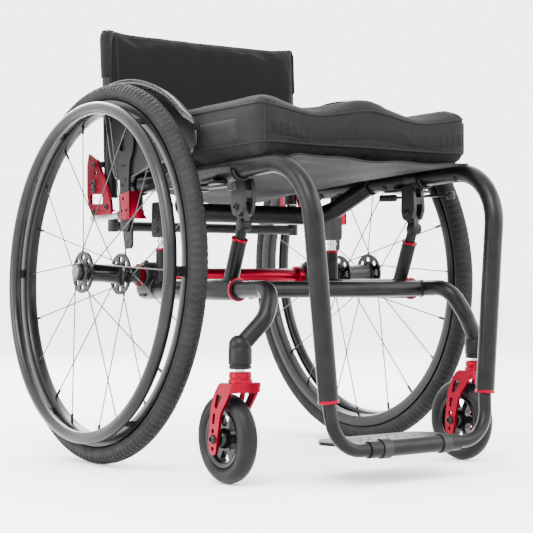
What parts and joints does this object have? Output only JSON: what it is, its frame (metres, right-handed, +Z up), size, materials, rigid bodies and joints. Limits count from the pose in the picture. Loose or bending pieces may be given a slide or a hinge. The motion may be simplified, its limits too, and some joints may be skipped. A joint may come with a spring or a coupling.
{
  "type": "manual wheelchair",
  "caption": "Rigid-frame manual wheelchair: spoked rear wheels with push rims, swivelling front casters, strut-mounted seat frame, cushion, low back, side guards and footrest.",
  "frame": {"origin": "on the floor under the middle of the chair's box, in the middle plane", "axes": "+Z up, the chair faces -Y, +X to the user's left"},
  "size_m": [0.609, 0.7608, 0.7041],
  "materials": {
    "frame_powder_coat": "satin",
    "red_anodised": "satin",
    "black_fitting": "satin",
    "gloss_black": "gloss",
    "tyre_rubber": "matte",
    "caster_rubber": "satin",
    "rim_alloy": "satin",
    "steel": "satin",
    "bare_aluminium": "satin",
    "seat_fabric": "matte",
    "cushion_fabric": "matte",
    "guard_composite": "gloss"
  },
  "bodies": {
    "frame": {"axle_R": "steel", "axle_L": "steel", "axle_receiver_R": "black_fitting", "axle_receiver_L": "black_fitting", "camber_ring_R": "red_anodised", "camber_ring_L": "red_anodised", "axle_clamp_R": "black_fitting", "axle_clamp_L": "black_fitting", "base_side_tube_R": "frame_powder_coat", "base_side_tube_L": "frame_powder_coat", "caster_arm_R": "frame_powder_coat", "caster_arm_L": "frame_powder_coat", "seat_side_tube_R": "frame_powder_coat", "seat_side_tube_L": "frame_powder_coat", "front_post_R": "frame_powder_coat", "front_post_L": "frame_powder_coat", "rear_post_R": "steel", "rear_post_L": "steel", "seat_clamp_R": "black_fitting", "seat_clamp_L": "black_fitting", "guard_receiver_R": "black_fitting", "guard_receiver_L": "black_fitting", "back_bracket_R": "red_anodised", "back_bracket_L": "red_anodised", "front_crossbar": "frame_powder_coat", "camber_tube": "red_anodised", "seat_cross_tube": "frame_powder_coat", "seat_sling": "seat_fabric", "cushion": "cushion_fabric", "footrest_tube": "frame_powder_coat", "footrest_sleeve": "frame_powder_coat", "footplate": "black_fitting", "rear_bar": "black_fitting"},
    "backrest": {"back_cane_R": "frame_powder_coat", "back_cane_L": "frame_powder_coat", "back_hinge_plate_R": "red_anodised", "back_hinge_plate_L": "red_anodised", "back_upholstery": "seat_fabric"},
    "wheel_R": {"tyre_R": "tyre_rubber", "rim_R": "rim_alloy", "handrim_R": "rim_alloy", "hub_R": "gloss_black"},
    "axle_button_body_R": {"axle_button_R": "bare_aluminium"},
    "caster_swivel_R": {"caster_fork_R": "red_anodised", "caster_axle_R": "black_fitting"},
    "caster_wheel_R": {"caster_tyre_R": "caster_rubber", "caster_core_R": "gloss_black"},
    "guard_R": {"side_guard_R": "guard_composite"},
    "lock_R": {"wheel_lock_R": "black_fitting"},
    "wheel_L": {"tyre_L": "tyre_rubber", "rim_L": "rim_alloy", "handrim_L": "rim_alloy", "hub_L": "gloss_black"},
    "axle_button_body_L": {"axle_button_L": "bare_aluminium"},
    "caster_swivel_L": {"caster_fork_L": "red_anodised", "caster_axle_L": "black_fitting"},
    "caster_wheel_L": {"caster_tyre_L": "caster_rubber", "caster_core_L": "gloss_black"},
    "guard_L": {"side_guard_L": "guard_composite"},
    "lock_L": {"wheel_lock_L": "black_fitting"}
  },
  "joints": [
    {"name": "wheel_spin_R", "type": "hinge", "parent": "frame", "child": "wheel_R", "pos_m": [-0.2538, 0.0824, 0.29773], "axis": [-0.999, 0, 0.0436], "continuous": true},
    {"name": "axle_button_press_R", "type": "slide", "parent": "frame", "child": "axle_button_body_R", "axis": [0.999, 0, -0.0436], "range_m": [0, 0.0024], "stiffness_N_per_m": 900},
    {"name": "caster_turn_R", "type": "hinge", "parent": "frame", "child": "caster_swivel_R", "pos_m": [-0.2225, -0.2603, 0.15], "axis": [0, 0, 1], "continuous": true},
    {"name": "caster_spin_R", "type": "hinge", "parent": "caster_swivel_R", "child": "caster_wheel_R", "pos_m": [-0.2225, -0.2272, 0.0635], "axis": [-1, 0, 0], "continuous": true},
    {"name": "guard_lift_R", "type": "slide", "parent": "frame", "child": "guard_R", "axis": [0, 0, 1], "range_m": [0, 0.075]},
    {"name": "lock_swing_R", "type": "hinge", "parent": "frame", "child": "lock_R", "pos_m": [-0.202, -0.1366, 0.4205], "axis": [0, 0, -1], "range_deg": [0, 23]},
    {"name": "wheel_spin_L", "type": "hinge", "parent": "frame", "child": "wheel_L", "pos_m": [0.2538, 0.0824, 0.29773], "axis": [0.999, 0, 0.0436], "continuous": true},
    {"name": "axle_button_press_L", "type": "slide", "parent": "frame", "child": "axle_button_body_L", "axis": [-0.999, 0, -0.0436], "range_m": [0, 0.0024], "stiffness_N_per_m": 900},
    {"name": "caster_turn_L", "type": "hinge", "parent": "frame", "child": "caster_swivel_L", "pos_m": [0.2225, -0.2603, 0.15], "axis": [0, 0, 1], "continuous": true},
    {"name": "caster_spin_L", "type": "hinge", "parent": "caster_swivel_L", "child": "caster_wheel_L", "pos_m": [0.2225, -0.2272, 0.0635], "axis": [1, 0, 0], "continuous": true},
    {"name": "guard_lift_L", "type": "slide", "parent": "frame", "child": "guard_L", "axis": [0, 0, 1], "range_m": [0, 0.075]},
    {"name": "lock_swing_L", "type": "hinge", "parent": "frame", "child": "lock_L", "pos_m": [0.202, -0.1366, 0.4205], "axis": [0, 0, 1], "range_deg": [0, 23]},
    {"name": "backrest_angle", "type": "hinge", "parent": "frame", "child": "backrest", "pos_m": [0, 0.1804, 0.406], "axis": [1, 0, 0], "range_deg": [-12, 10]}
  ]
}
